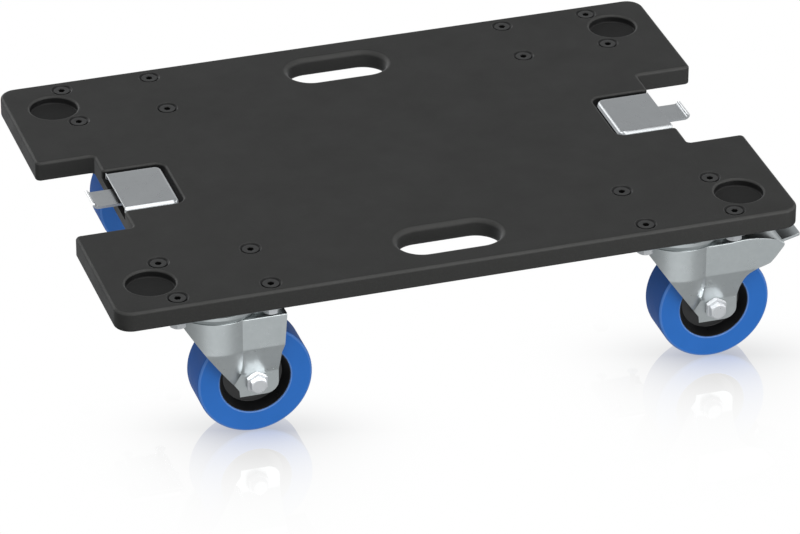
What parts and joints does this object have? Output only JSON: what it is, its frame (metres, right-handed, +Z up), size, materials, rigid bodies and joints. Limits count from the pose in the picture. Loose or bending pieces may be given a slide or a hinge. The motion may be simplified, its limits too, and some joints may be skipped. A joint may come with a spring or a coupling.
{
  "type": "speaker dolly",
  "caption": "Flat carrying board on four trailing swivel castors, the pair at one end braked, with hand slots, foot cups and a latch keeper in each end cut-out.",
  "frame": {"origin": "centre of the board's flat top face", "axes": "+X along the board towards its braked castors, +Y to the back, +Z up"},
  "size_m": [0.6093, 0.41, 0.149],
  "materials": {
    "board_paint": "matte structured dark grey coating over plywood",
    "black_oxide": "satin black",
    "keeper_steel": "satin zinc plated steel",
    "zinc_sheet": "satin zinc plated pressed sheet",
    "zinc_bolt": "bright zinc plate",
    "ball_steel": "polished bearing steel",
    "hub_nylon": "moulded black nylon",
    "tyre_rubber": "smooth blue elastic rubber",
    "shoe_rubber": "moulded black"
  },
  "bodies": {
    "board": {"deck": "board_paint", "deck_screws": "black_oxide", "castor_nuts": "zinc_bolt", "keeper_plate_left": "keeper_steel", "keeper_plate_right": "keeper_steel", "keeper_latch_left": "keeper_steel", "keeper_latch_right": "keeper_steel", "keeper_screws": "zinc_bolt", "top_plate_lf": "zinc_sheet", "top_plate_lb": "zinc_sheet", "top_plate_rf": "zinc_sheet", "top_plate_rb": "zinc_sheet", "upper_races": "zinc_sheet", "lower_races": "zinc_sheet", "kingpins": "zinc_bolt", "kingpin_nuts": "zinc_bolt"},
    "swivel_lf": {"fork_lf": "zinc_sheet", "swivel_balls_lf": "ball_steel", "axle_bolt_lf": "zinc_bolt", "axle_nut_lf": "zinc_bolt", "axle_spacer_lf": "zinc_bolt"},
    "wheel_lf": {"wheel_hub_lf": "hub_nylon", "tyre_lf": "tyre_rubber", "wheel_bearings_lf": "ball_steel"},
    "swivel_lb": {"fork_lb": "zinc_sheet", "swivel_balls_lb": "ball_steel", "axle_bolt_lb": "zinc_bolt", "axle_nut_lb": "zinc_bolt", "axle_spacer_lb": "zinc_bolt"},
    "wheel_lb": {"wheel_hub_lb": "hub_nylon", "tyre_lb": "tyre_rubber", "wheel_bearings_lb": "ball_steel"},
    "swivel_rf": {"fork_rf": "zinc_sheet", "swivel_balls_rf": "ball_steel", "axle_bolt_rf": "zinc_bolt", "axle_nut_rf": "zinc_bolt", "axle_spacer_rf": "zinc_bolt", "pedal_pin_rf": "zinc_bolt", "brake_spring_rf": "ball_steel"},
    "wheel_rf": {"wheel_hub_rf": "hub_nylon", "tyre_rf": "tyre_rubber", "wheel_bearings_rf": "ball_steel"},
    "brake_rf": {"brake_pedal_rf": "zinc_sheet", "brake_shoe_rf": "shoe_rubber"},
    "swivel_rb": {"fork_rb": "zinc_sheet", "swivel_balls_rb": "ball_steel", "axle_bolt_rb": "zinc_bolt", "axle_nut_rb": "zinc_bolt", "axle_spacer_rb": "zinc_bolt", "pedal_pin_rb": "zinc_bolt", "brake_spring_rb": "ball_steel"},
    "wheel_rb": {"wheel_hub_rb": "hub_nylon", "tyre_rb": "tyre_rubber", "wheel_bearings_rb": "ball_steel"},
    "brake_rb": {"brake_pedal_rb": "zinc_sheet", "brake_shoe_rb": "shoe_rubber"}
  },
  "joints": [
    {"name": "swivel_lf", "type": "hinge", "parent": "board", "child": "swivel_lf", "pos_m": [-0.205, -0.16, -0.018], "axis": [0, 0, 1], "continuous": true},
    {"name": "wheel_spin_lf", "type": "hinge", "parent": "swivel_lf", "child": "wheel_lf", "pos_m": [-0.17575, -0.16, -0.099], "axis": [0, 1, 0], "continuous": true},
    {"name": "swivel_lb", "type": "hinge", "parent": "board", "child": "swivel_lb", "pos_m": [-0.205, 0.16, -0.018], "axis": [0, 0, 1], "continuous": true},
    {"name": "wheel_spin_lb", "type": "hinge", "parent": "swivel_lb", "child": "wheel_lb", "pos_m": [-0.17575, 0.16, -0.099], "axis": [0, 1, 0], "continuous": true},
    {"name": "swivel_rf", "type": "hinge", "parent": "board", "child": "swivel_rf", "pos_m": [0.205, -0.16, -0.018], "axis": [0, 0, 1], "continuous": true},
    {"name": "wheel_spin_rf", "type": "hinge", "parent": "swivel_rf", "child": "wheel_rf", "pos_m": [0.23425, -0.16, -0.099], "axis": [0, 1, 0], "continuous": true},
    {"name": "brake_rf", "type": "hinge", "parent": "swivel_rf", "child": "brake_rf", "pos_m": [0.279, -0.16, -0.0465], "axis": [0, 1, 0], "range_deg": [0, 10]},
    {"name": "swivel_rb", "type": "hinge", "parent": "board", "child": "swivel_rb", "pos_m": [0.205, 0.16, -0.018], "axis": [0, 0, 1], "continuous": true},
    {"name": "wheel_spin_rb", "type": "hinge", "parent": "swivel_rb", "child": "wheel_rb", "pos_m": [0.23425, 0.16, -0.099], "axis": [0, 1, 0], "continuous": true},
    {"name": "brake_rb", "type": "hinge", "parent": "swivel_rb", "child": "brake_rb", "pos_m": [0.279, 0.16, -0.0465], "axis": [0, 1, 0], "range_deg": [0, 10]}
  ]
}
